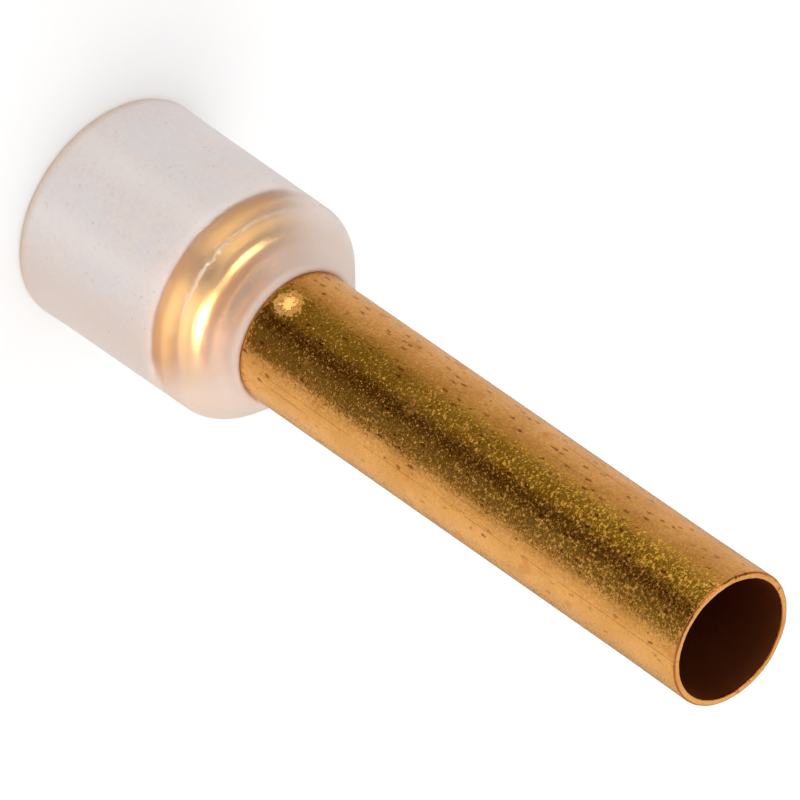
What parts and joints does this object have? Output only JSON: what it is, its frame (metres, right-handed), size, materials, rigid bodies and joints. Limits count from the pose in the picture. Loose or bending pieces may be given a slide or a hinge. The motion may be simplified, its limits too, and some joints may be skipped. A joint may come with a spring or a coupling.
{
  "type": "wire ferrule",
  "caption": "Insulated wire end ferrule: a long thin metal barrel flared inside a short translucent collar that takes the wire's insulation.",
  "frame": {"origin": "centre of the collar's open mouth, on the surface it stands on", "axes": "+Z along the barrel's axis, from the collar's mouth to the barrel's tip"},
  "size_m": [0.0068, 0.0068, 0.0258],
  "materials": {
    "barrel": "gold plating on copper, drawn and lightly pitted, satin to bright",
    "collar": "natural translucent plastic, frosted, with fine specks"
  },
  "bodies": {
    "root": {"barrel": "barrel", "collar": "collar"}
  },
  "joints": []
}
